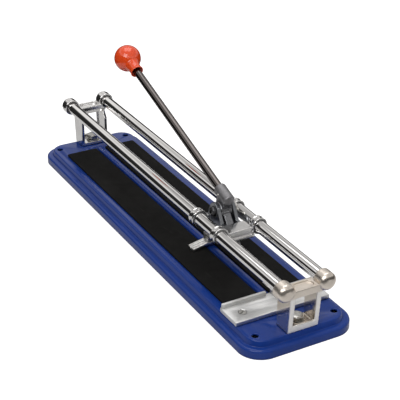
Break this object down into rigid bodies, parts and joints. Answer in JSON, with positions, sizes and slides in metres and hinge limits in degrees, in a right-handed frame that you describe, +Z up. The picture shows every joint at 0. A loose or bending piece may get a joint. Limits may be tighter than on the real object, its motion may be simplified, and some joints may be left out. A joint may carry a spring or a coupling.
{
  "type": "tile cutter",
  "caption": "Bench tile cutter: padded steel base, two chromed guide rails on end brackets, sliding carriage with ball-topped lever, scoring wheel and breaking foot.",
  "frame": {"origin": "bottom centre of the base, on the surface it stands on", "axes": "+X across the base, +Y along the rails away from the tile fence, +Z up"},
  "size_m": [0.13, 0.532, 0.189],
  "materials": {
    "blue_enamel": "stoved blue enamel on pressed steel, glossy",
    "black_foam": "closed-cell foam rubber, matt black",
    "chrome": "bright hard chrome on ground steel bar",
    "cast_chrome": "chromed zinc casting, soft satin reflections",
    "aluminium": "plain extruded aluminium, fine lengthwise lines",
    "zinc_plate": "bright zinc plated steel",
    "grey_cast": "grey cast metal, fine grained and unpolished",
    "dark_steel": "bright drawn steel with dark reflections",
    "tool_steel": "ground hard metal",
    "nylon": "grey nylon",
    "orange_plastic": "moulded orange-red plastic, high gloss"
  },
  "bodies": {
    "base": {"base_pan": "blue_enamel", "pad_left": "black_foam", "pad_right": "black_foam", "fence_bar": "aluminium", "fence_screw_left": "zinc_plate", "fence_screw_right": "zinc_plate", "fence_nut_left": "zinc_plate", "fence_nut_right": "zinc_plate", "rail_left": "chrome", "rail_right": "chrome", "near_bracket": "cast_chrome", "near_bracket_washer": "zinc_plate", "near_bracket_bolt": "zinc_plate", "near_bracket_nut": "zinc_plate", "near_grub_screw_left": "dark_steel", "near_grub_screw_right": "dark_steel", "far_bracket": "cast_chrome", "far_bracket_washer": "zinc_plate", "far_bracket_bolt": "zinc_plate", "far_bracket_nut": "zinc_plate", "far_grub_screw_left": "dark_steel", "far_grub_screw_right": "dark_steel"},
    "carriage": {"carriage_frame": "cast_chrome", "slide_bush_far_left": "nylon", "slide_bush_far_right": "nylon", "slide_bush_near_left": "nylon", "slide_bush_near_right": "nylon", "pivot_bolt": "zinc_plate", "pivot_nut": "zinc_plate"},
    "lever": {"lever_casting": "grey_cast", "handle_rod": "dark_steel", "rod_lock_pin": "zinc_plate", "ball_knob": "orange_plastic", "breaking_foot": "zinc_plate", "foot_screw_near": "zinc_plate", "foot_screw_far": "zinc_plate", "wheel_screw": "zinc_plate", "wheel_nut": "zinc_plate"},
    "wheel": {"scoring_wheel": "tool_steel"}
  },
  "joints": [
    {"name": "carriage_slide", "type": "slide", "parent": "base", "child": "carriage", "axis": [0, 1, 0], "range_m": [-0.1, 0.265]},
    {"name": "lever_pivot", "type": "hinge", "parent": "carriage", "child": "lever", "pos_m": [0, -0.097, 0.078], "axis": [1, 0, 0], "range_deg": [0, 38]},
    {"name": "wheel_spin", "type": "hinge", "parent": "lever", "child": "wheel", "pos_m": [0, -0.1284, 0.0431], "axis": [1, 0, 0], "continuous": true}
  ]
}
